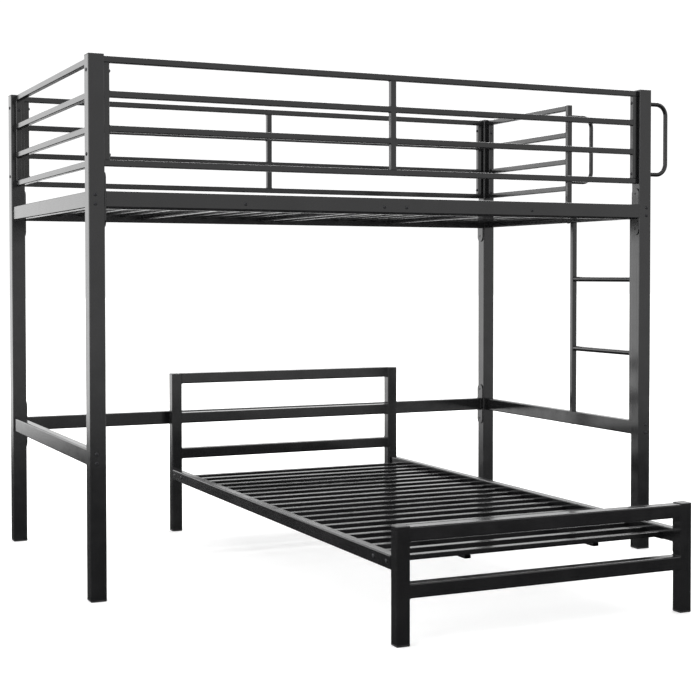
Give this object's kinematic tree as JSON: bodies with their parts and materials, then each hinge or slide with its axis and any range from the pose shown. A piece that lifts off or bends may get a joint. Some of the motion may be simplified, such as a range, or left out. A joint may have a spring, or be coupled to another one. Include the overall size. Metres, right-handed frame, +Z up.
{
  "type": "metal loft bunk bed with separate lower bed",
  "caption": "Black square-tube loft bed with guard rails, end ladder and grab handles over a free-standing slatted lower bed set across it",
  "frame": {"origin": "bottom centre of the object's box, on the floor", "axes": "+Z up, +X along the loft's long side towards the ladder end, +Y from the lower bed's foot to the loft's back"},
  "size_m": [2.1566, 2.0816, 1.67],
  "materials": {
    "black_powder_coat": "satin black powder coat with a fine texture",
    "black_powder_coat_slats": "satin black powder coat",
    "black_plastic": "moulded black plastic",
    "black_zinc": "black oxide on steel"
  },
  "bodies": {
    "loft": {"deck_bars_left": "black_powder_coat_slats", "deck_bars_right": "black_powder_coat_slats", "deck_bolts": "black_zinc", "deck_slats_left": "black_powder_coat_slats", "deck_slats_right": "black_powder_coat_slats", "end_rail_bolts": "black_zinc", "grab_handle_guard": "black_powder_coat", "grab_handle_post": "black_powder_coat", "guard_back": "black_powder_coat", "guard_bolts": "black_zinc", "guard_front": "black_powder_coat", "guard_left": "black_powder_coat", "guard_nuts": "black_zinc", "guard_right": "black_powder_coat", "handle_bolts": "black_zinc", "ladder_bolts": "black_zinc", "ladder_rung_lower": "black_powder_coat", "ladder_rung_upper": "black_powder_coat", "ladder_stile_inner": "black_powder_coat", "ladder_stile_outer": "black_powder_coat", "low_rail_back": "black_powder_coat", "plate_bolts": "black_zinc", "post_back_left": "black_powder_coat", "post_back_right": "black_powder_coat", "post_caps": "black_plastic", "post_feet": "black_plastic", "post_front_left": "black_powder_coat", "post_front_right": "black_powder_coat", "rail_back": "black_powder_coat", "rail_end_left": "black_powder_coat", "rail_end_right": "black_powder_coat", "rail_front": "black_powder_coat", "stretcher_left": "black_powder_coat", "stretcher_right": "black_powder_coat"},
    "lower_bed": {"bed_bolts": "black_zinc", "bed_brackets_left": "black_powder_coat", "bed_brackets_right": "black_powder_coat", "bed_feet": "black_plastic", "bed_foot_bar_bottom": "black_powder_coat", "bed_foot_bar_top": "black_powder_coat", "bed_foot_caps": "black_plastic", "bed_foot_post_left": "black_powder_coat", "bed_foot_post_right": "black_powder_coat", "bed_head_bar_bottom": "black_powder_coat", "bed_head_bar_middle": "black_powder_coat", "bed_head_bar_top": "black_powder_coat", "bed_head_caps": "black_plastic", "bed_head_post_left": "black_powder_coat", "bed_head_post_right": "black_powder_coat", "bed_side_rail_left": "black_powder_coat", "bed_side_rail_right": "black_powder_coat", "bed_slat_ledges": "black_powder_coat_slats", "bed_slats": "black_powder_coat_slats", "bed_under_bars": "black_powder_coat_slats"}
  },
  "joints": [
    {"name": "lower_bed_pull_out", "type": "slide", "parent": "loft", "child": "lower_bed", "axis": [0, -1, 0], "range_m": [-0.02, 1.15]}
  ]
}
